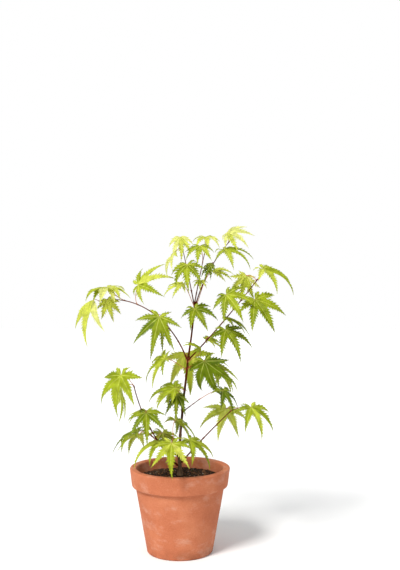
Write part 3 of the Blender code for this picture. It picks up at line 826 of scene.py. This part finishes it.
def leaf_surface(name, colour, roughness, glow, share, grain):
    nodes = Nodes(name)
    low, high = LEAF_SHADES
    dark, bright = [c * low for c in colour], [min(0.9, c * high + 0.01) for c in colour]
    patch = nodes.ramp(nodes.noise(130, 4, 0.6), (0.32, dark), (0.5, colour), (0.7, bright))
    fleck = nodes.mix(nodes.ramp(nodes.cells(900), (0.0, 0.3), (0.1, 0.0)), patch, bright)
    nodes.bump(nodes.cells(900), grain, 0.1)
    nodes.bump(nodes.noise(420, 2), grain * 0.6, 0.2)
    nodes.let_through(glow, share)
    return nodes.finish(fleck, roughness, 0.09)


def leaf_surfaces():
    """Each tint's surfaces: upper side, its veins, under side and its veins."""
    made = {}
    for tint, (upper, under, share) in TINTS.items():
        top, low, less = linear(*upper), linear(*under), share * 0.7
        vein_top = blend(top, linear(226, 226, 120), 0.46)
        vein_low = blend(low, linear(230, 228, 150), 0.5)
        glow = [min(1.0, c * k) for c, k in zip(top, (1.2, 1.2, 0.9))]
        made[tint] = (
            leaf_surface(f"leaf {tint}", top, 0.45, glow, share, 0.35),
            leaf_surface(f"vein {tint}", vein_top, 0.45, glow, less, 0.1),
            leaf_surface(f"leaf {tint} under", low, 0.6, glow, share, 0.25),
            leaf_surface(f"vein {tint} under", vein_low, 0.55, glow, less, 0.1),
        )
    return made


def stem_surface(name, dark, light, foot=None):
    """Young bark: streaks along the stem, fine specks, and greyer wood low down."""
    nodes, dark, light = Nodes(name), linear(*dark), linear(*light)
    streak = nodes.noise(320, 5, 0.6, (1, 1, 0.16))
    colour = nodes.ramp(streak, (0.3, dark), (0.52, blend(dark, light, 0.55)), (0.72, light))
    speck = nodes.ramp(nodes.cells(420, "F1"), (0.1, 1.0), (0.2, 0.0))
    colour = nodes.mix(speck, colour, blend(light, [0.8, 0.6, 0.45], 0.35))
    if foot:
        wood = [(spot, linear(*levels)) for spot, levels in zip((0.35, 0.65), foot)]
        low = nodes.ramp(nodes.noise(500, 5, 0.65, (1, 1, 0.3)), *wood)
        colour = nodes.mix(nodes.up(0.215, 0.12), colour, low)
    nodes.bump(streak, 0.3, 0.25)
    nodes.bump(nodes.noise(1500, 3), 0.2, 0.08)
    return nodes.finish(colour, nodes.ramp(streak, (0.3, 0.45), (0.7, 0.65)), 0.05)


def clay_surface():
    """Unglazed clay: clouded body, fine grit, pale salts and a damp foot."""
    nodes = Nodes("fired clay")
    clouds, sand = nodes.noise(22, 6, 0.6), nodes.noise(900, 4, 0.7)
    tones = [linear(168, 92, 60), linear(184, 106, 72), linear(199, 124, 88)]
    body = nodes.ramp(clouds, *zip((0.3, 0.5, 0.7), tones))
    tones = [linear(150, 82, 54), linear(190, 114, 80), linear(214, 150, 118)]
    grit = nodes.ramp(sand, *zip((0.32, 0.5, 0.72), tones))
    salts = nodes.ramp(nodes.noise(34, 8, 0.65, (1, 1, 1.6)), (0.52, 0.0), (0.8, 0.38))
    colour = nodes.mix(salts, nodes.mix(0.35, body, grit), linear(222, 196, 178))
    damp = nodes.ramp(nodes.noise(60, 6), (0.35, 0.0), (0.65, 0.6))
    foot = nodes.mix(nodes.up(0.02, 0.0), [0, 0, 0], damp)
    colour = nodes.mix(foot, colour, linear(120, 74, 52))
    nodes.bump(nodes.noise(1300, 4, 0.7), 0.35, 0.15)
    nodes.bump(nodes.noise(60, 4, 0.6, (1, 1, 9)), 0.2, 0.5)
    return nodes.finish(colour, nodes.ramp(nodes.noise(120, 4), (0.3, 0.78), (0.7, 0.95)), 0.25)


def crumb_surface(name, dark, light):
    nodes = Nodes(name)
    grains = nodes.noise(700, 5, 0.7)
    colour = nodes.ramp(grains, (0.35, linear(*dark)), (0.65, linear(*light)))
    nodes.bump(nodes.noise(1800, 4, 0.7), 0.5, 0.3)
    return nodes.finish(colour, 0.92, 0.2)


# --- The pot ---


def wall_inside(height):
    """The pot's inner radius at a height: its wall follows the body's slope."""
    slope = (BODY_TOP_RADIUS - FOOT_RADIUS) / (POT_HEIGHT - RIM_HEIGHT)
    return FOOT_RADIUS - WALL + slope * height


def rounded(corners, step):
    """A profile through (radius, height, rounding) corners, with no long steps."""
    spots = [np.array(corner[:2], float) for corner in corners]
    line = [spots[0]]
    for before, here, after, (_, _, bend) in zip(spots, spots[1:], spots[2:], corners[1:]):
        come, go = here + unit(before - here) * bend, here + unit(after - here) * bend
        for t in np.linspace(0, 1, 7 if bend else 1):
            line.append(come * (1 - t) ** 2 + here * 2 * t * (1 - t) + go * t**2)
    line.append(spots[-1])
    fine = [line[0]]
    for here, there in zip(line, line[1:]):
        parts = max(1, round(np.linalg.norm(there - here) / step))
        fine += [here + (there - here) * (part + 1) / parts for part in range(parts)]
    return np.array(fine)


def turned(profile, sides, wobble):
    """The points and faces of a turned solid whose profile starts and ends on the axis."""
    turns = turns_round(sides)
    points = [(0, 0, profile[0][1])]
    for radius, height in profile[1:-1]:
        reach = radius + wobble(radius, height, turns)
        points += list(zip(reach * np.cos(turns), reach * np.sin(turns), np.full(sides, height)))
    points.append((0, 0, profile[-1][1]))
    count, last = len(profile) - 2, len(points) - 1
    faces = [tuple(1 + i for i in face) for face in ring_faces(count, sides, closed=False)]
    for side in range(sides):
        after = (side + 1) % sides
        faces.append((0, 1 + after, 1 + side))
        top = 1 + (count - 1) * sides
        faces.append((last, top + side, top + after))
    return np.array(points, float), faces


def clay_wobble(radius, height, turns):
    """What the wheel leaves: faint turning lines and a slightly oval rim."""
    line = 0.05 * math.sin(height * 1.9) + 0.035 * math.sin(height * 4.3 + 1)
    oval = 0.0022 * radius * np.sin(2 * turns + 0.8) * height / POT_HEIGHT
    return line + oval + 0.05 * np.sin(5 * turns + height / 9)


def make_pot(surface):
    shoulder = POT_HEIGHT - RIM_HEIGHT
    corners = [
        (0, 0, 0),
        (FOOT_RADIUS, 0, 1.8),
        (BODY_TOP_RADIUS, shoulder, 1.2),
        (RIM_FOOT_RADIUS, shoulder, 1.8),
        (RIM_TOP_RADIUS, POT_HEIGHT, 2.6),
        (wall_inside(POT_HEIGHT), POT_HEIGHT, 2.6),
        (wall_inside(FLOOR), FLOOR, 3.0),
        (0, FLOOR, 0),
    ]
    pot = Shape()
    pot.add(*turned(rounded(corners, POT_STEP), POT_SIDES, clay_wobble), surface)
    made = pot.piece("clay_pot", "fired_clay", ["pot"])
    drains = Shape()
    for number in range(DRAIN_COUNT):
        turn = 2 * math.pi * (number + 0.5) / DRAIN_COUNT
        spot = (DRAIN_CIRCLE * math.cos(turn), DRAIN_CIRCLE * math.sin(turn))
        radius = np.full((2, DRAIN_SIDES), DRAIN_RADIUS)
        limb(drains, [(*spot, -FLOOR), (*spot, 2 * FLOOR)], radius, surface)
    cutter = mesh_object("drains", drains.points, drains.faces)
    cut = made.modifiers.new("drains", "BOOLEAN")
    cut.object = cutter
    cut.operation = "DIFFERENCE"
    graph = bpy.context.evaluated_depsgraph_get()
    holed = bpy.data.meshes.new_from_object(made.evaluated_get(graph))
    made.modifiers.clear()
    made.data = holed
    bpy.data.objects.remove(cutter)
    smooth(holed, SHARP_ANGLE)


# --- The potting mix ---


def soil_height(x, y):
    radius = math.hypot(x, y)
    edge = wall_inside(SOIL_TOP)
    fall = max(0.0, (radius - SOIL_CROWN_RADIUS) / (edge - SOIL_CROWN_RADIUS))
    lumps = math.sin(x / 7.1 + 1) * math.sin(y / 8.3 + 2)
    lumps += 0.6 * math.sin(x / 3.1) * math.sin(y / 2.7)
    return SOIL_TOP - 1.2 - SOIL_EDGE_DROP * fall + 0.5 * lumps


def turning(angle, first, second):
    """The matrix that turns one axis towards another."""
    made = np.eye(3)
    made[first, first] = made[second, second] = math.cos(angle)
    made[second, first], made[first, second] = math.sin(angle), -math.sin(angle)
    return made


def grain(chance, size, stretch):
    """A rough crumb: a twenty-sided ball pushed about, as points and faces."""
    gold = (1 + 5**0.5) / 2
    corners = [(0, a, b * gold) for a in (-1, 1) for b in (-1, 1)]
    corners = [corner[i:] + corner[:i] for i in range(3) for corner in corners]
    points = np.array(corners) / math.hypot(1, gold)
    points *= np.array([[chance.uniform(0.75, 1.2)] for _ in points]) * size
    points *= stretch
    a, b, c = (chance.uniform(0, 2 * math.pi) for _ in range(3))
    tilt = b if stretch[2] > 0.8 else 0.35 * math.sin(b)
    return points @ (turning(a, 0, 1) @ turning(tilt, 1, 2) @ turning(c, 0, 1)).T


def hull_faces():
    """The twenty faces over a grain's corners, each wound outward."""
    shape = bmesh.new()
    for point in grain(random.Random(0), 1, (1, 1, 1)):
        shape.verts.new(point / np.linalg.norm(point))
    bmesh.ops.convex_hull(shape, input=shape.verts)
    bmesh.ops.recalc_face_normals(shape, faces=shape.faces)
    shape.verts.index_update()
    faces = [tuple(vert.index for vert in face.verts) for face in shape.faces]
    shape.free()
    return faces


def make_soil():
    looks = {name: crumb_surface(name, *tones) for name, tones in MIX_LOOKS.items()}
    bed, edge = Shape(), SOIL_TOP - SOIL_EDGE_DROP
    profile = [(0, FLOOR + GAP), (wall_inside(FLOOR) - 2 * GAP - 3, FLOOR + GAP)]
    profile += [(wall_inside(FLOOR + 4) - 2 * GAP, FLOOR + 4)]
    radii = np.linspace(wall_inside(edge) - 2 * GAP, 0, BED_RINGS)
    profile += [(radius, edge) for radius in radii]
    points, faces = turned(profile, BED_SIDES, lambda radius, height, turns: 0 * turns)
    for point in points:
        if point[2] == edge:
            point[2] = soil_height(point[0], point[1])
    bed.add(points, faces, looks["peat"])
    bed.piece("soil_bed", "potting_mix", ["soil"])
    chance, hull = random.Random(5), hull_faces()
    reach = wall_inside(SOIL_TOP) - 1.5
    shapes = {"soil_crumbs": Shape(), "soil_chips": Shape()}
    for name, look, count, (least, most), stretch, rise in GRAINS:
        for _ in range(count):
            turn, out = chance.uniform(0, 2 * math.pi), reach * math.sqrt(chance.random())
            size = least + (most - least) * chance.random() ** 2
            out = min(out, reach - size * stretch[0])
            x, y = out * math.cos(turn), out * math.sin(turn)
            spot = np.array([x, y, soil_height(x, y) + rise * 0.35 * size])
            shapes[name].add(grain(chance, size, stretch) + spot, hull, looks[look])
    for name, shape in shapes.items():
        shape.piece(name, "potting_mix", ["soil"], sharp=60)


# --- The plant ---


def make_trunk(bark, scale):
    shape, chance = Shape(), random.Random(11)
    heights = np.arange(TRUNK_FOOT, TRUNK_TOP + 0.01, TRUNK_STEP)
    stations = [trunk_at(height) for height in heights]
    nodes = sorted({shoot.height for shoot in SHOOTS.values() if shoot.height < TRUNK_TOP - 2})
    nodes += TRUNK_RINGS
    radii = [radius for _, radius in stations]
    radius = bark_relief(heights, radii, TRUNK_SIDES, nodes, chance, TRUNK_RIDGE)
    turns = turns_round(TRUNK_SIDES)
    roots = 0.16 * np.exp(-(heights - TRUNK_FOOT) / 4)[:, None] * np.cos(3 * turns + 0.7)[None, :]
    limb(shape, [middle for middle, _ in stations], radius * (1 + roots), bark, first=UP)
    whorl = [(TRUNK_TOP - 6.5 + 0.8 * n, n * GOLDEN_TURN) for n in range(TIP_SCALES)]
    for places, (out, lean, long, wide) in ((whorl, TIP_SCALE), (TRUNK_BUDS, TRUNK_BUD)):
        for height, turn in places:
            middle, radius = trunk_at(height)
            side = heading(turn, 0)
            bud(shape, middle + side * radius * out, unit(side * lean + UP), long, wide, scale)
    shape.piece("bark_trunk", "bark", ["trunk"])


def grow_shoot(shape, name, shoot, start, end, nodes, surface, sink=0.0):
    """A stretch of a shoot with its bark; sink carries its root back into what bears it."""
    distances = np.append(np.arange(start, end, SHOOT_STEP), end)
    route = [shoot_at(shoot, distance)[0] for distance in distances]
    radii = [shoot_radius(shoot, distance) for distance in distances]
    if sink:
        swell = 1 + 0.45 * np.exp(-(distances - start) / 2.2)
        radii = np.array(radii) * swell
        _, away = shoot_at(shoot, start)
        route = [route[0] - away * sink, *route]
        radii = np.append(radii[0], radii)
        distances = np.append(start - sink, distances)
    near = [node for node in nodes if start - 3 < node < end + 3]
    chance = random.Random(name)
    radius = bark_relief(distances, radii, SHOOT_SIDES, near, chance, SHOOT_RIDGE)
    limb(shape, route, radius, surface)


def axil_bud(shape, shoot, distance, toward, surface):
    """A resting bud between a leaf's stalk and its shoot."""
    point, along = shoot_at(shoot, distance)
    out = toward - along * (toward @ along)
    if np.linalg.norm(out) > 1e-6:
        out = unit(out)
        at = point + out * shoot_radius(shoot, distance) * 0.7 + along * 0.9
        bud(shape, at, unit(along + 0.45 * out), 2.3, 0.62, surface)


def make_spray(name, leaves, looks, stems):
    shoot, scale = SHOOTS[name], stems["scale"]
    first = shoot.bare + LEAF_MARGIN
    nodes = sorted({max(leaf.at, first) for leaf in leaves.values()})
    rest = [shoot.bare - RING_SPACING, shoot.bare - 2 * RING_SPACING]
    if shoot.bare <= 40:
        rest = [shoot.bare / 2]
    nodes = [node for node in rest if node > RING_CLEAR] + [shoot.bare] + nodes
    bough, bare = Shape(), shoot.bare + SHOOT_LAP
    grow_shoot(bough, name, shoot, 0, bare, nodes, stems["twig"], sink=SHOOT_SINK)
    for node in nodes:
        if RING_CLEAR < node < shoot.bare - 1:
            side = unit(np.cross(shoot_at(shoot, node)[1], UP))
            for hand in (-1, 1):
                axil_bud(bough, shoot, node, side * hand, scale)
    bough.piece("bark_" + name, "red_twig", ["bough_" + name])
    foliage, stalks = Shape(), Shape()
    bare = shoot.bare - SHOOT_LAP
    grow_shoot(stalks, name + "_out", shoot, bare, shoot.length, nodes, stems["twig"])
    tip, along = shoot_at(shoot, shoot.length)
    side = unit(np.cross(along, UP))
    for hand in (-1, 1):
        at = tip - along * 0.8 + side * hand * 0.4
        bud(stalks, at, unit(along + side * hand * 0.3), 2.6, 0.6, scale)
    for label, leaf in leaves.items():
        distance = max(leaf.at, first)
        start, leave = shoot_at(shoot, distance)
        blade = grow_leaf(foliage, leaf, f"{name}_{label}", looks)
        grow_stalk(stalks, start, leave, blade, stems[leaf.stalk])
        axil_bud(stalks, shoot, distance, blade.base - start, scale)
    foliage.piece("leaves_" + name, "foliage", ["spray_" + name])
    stalks.piece("stalks_" + name, "red_twig", ["spray_" + name])


def make_trunk_leaves(looks, stems):
    foliage, stalks = Shape(), Shape()
    for name, leaf in TRUNK_LEAVES.items():
        toward = np.array(leaf.base, float) - trunk_at(leaf.at)[0]
        direction = unit(toward + UP * STALK_LIFT * np.linalg.norm(toward))
        start = clear_of_trunk(leaf.at, direction, STALK_RADIUS)
        blade = grow_leaf(foliage, leaf, name, looks)
        level = unit(np.array([direction[0], direction[1], 0.0]))
        grow_stalk(stalks, start - level * 1.0, direction, blade, stems[leaf.stalk])
        at = start - level * 0.9 + UP * 0.8
        bud(stalks, at, unit(level * 0.4 + UP), 2.6, 0.65, stems["scale"])
    nodes = ["leaf_" + name for name in TRUNK_LEAVES]
    foliage.piece("leaves_trunk", "foliage", nodes)
    stalks.piece("stalks_trunk", "red_twig", nodes)


def make_plant():
    looks = leaf_surfaces()
    stems = {kind: stem_surface(*look) for kind, look in STEM_LOOKS.items()}
    make_trunk(stem_surface("bark", *BARK_LOOK, WOOD_LOOK), stems["scale"])
    for name, leaves in SPRAYS.items():
        make_spray(name, leaves, looks, stems)
    for name, seed in PAIRED_SHOOTS.items():
        make_spray(name, paired_leaves(SHOOTS[name], seed), looks, stems)
    make_trunk_leaves(looks, stems)


# --- The stage ---


def make_stage():
    """A plain pale floor, and an even white sky that only the camera sees."""
    reach, drop = 6.0, 0.0003
    corners = [(-reach, -reach), (reach, -reach), (reach, reach), (-reach, reach)]
    floor = mesh_object("floor", [(x, y, -drop) for x, y in corners], [(0, 1, 2, 3)])
    nodes = Nodes("floor")
    pale = nodes.ramp(nodes.noise(3, 2), (0.3, (0.9, 0.9, 0.905)), (0.7, (0.92, 0.92, 0.925)))
    floor.data.materials.append(nodes.finish(pale, 0.9, 0.1))
    backdrop = mesh_object("backdrop", [], [])
    dome = bmesh.new()
    bmesh.ops.create_uvsphere(dome, u_segments=48, v_segments=24, radius=8.0)
    dome.to_mesh(backdrop.data)
    dome.free()
    glow = Nodes("backdrop")
    glow.put(glow.surface.inputs["Emission Color"], (1, 1, 1))
    glow.put(glow.surface.inputs["Emission Strength"], 1.0)
    backdrop.data.materials.append(glow.finish((0, 0, 0), 0.5, 0))
    backdrop.visible_diffuse = backdrop.visible_glossy = False
    backdrop.visible_transmission = backdrop.visible_shadow = False
    world = bpy.data.worlds.new("sky")
    world.use_nodes = True
    sky = world.node_tree.nodes["Background"]
    sky.inputs["Color"].default_value = (0.97, 0.985, 1.0, 1)
    sky.inputs["Strength"].default_value = 0.66
    bpy.context.scene.world = world


def make_sun(toward, strength, softness):
    """A broad soft light from the way that toward points."""
    data = bpy.data.lights.new("key", "SUN")
    data.energy, data.angle, data.color = strength, math.radians(softness), (1.0, 0.985, 0.95)
    made = placed("key", data)
    made.rotation_mode = "QUATERNION"
    made.rotation_quaternion = Vector(toward).to_track_quat("Z", "Y")


def make_camera():
    """The photograph's view: level, from the front, as high as the middle of the crown."""
    data = bpy.data.cameras.new("camera")
    data.sensor_width = SENSOR
    data.lens = SENSOR * FOCAL_PIXELS / PHOTO_HEIGHT
    camera = placed("camera", data)
    camera.location = CAMERA_PLACE
    camera.rotation_euler = (math.radians(90), 0, 0)
    bpy.context.scene.camera = camera


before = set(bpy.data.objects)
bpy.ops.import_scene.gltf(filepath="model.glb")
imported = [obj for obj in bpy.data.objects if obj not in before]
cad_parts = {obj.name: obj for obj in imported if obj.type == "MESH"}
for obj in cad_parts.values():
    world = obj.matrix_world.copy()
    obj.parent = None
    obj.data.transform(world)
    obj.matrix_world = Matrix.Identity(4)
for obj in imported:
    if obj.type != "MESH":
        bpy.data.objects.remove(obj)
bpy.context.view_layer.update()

make_camera()
make_stage()
make_sun((-0.45, -0.62, 0.75), 3.1, 18)
bpy.context.scene.view_settings.view_transform = "Standard"

make_pot(clay_surface())
make_soil()
make_plant()
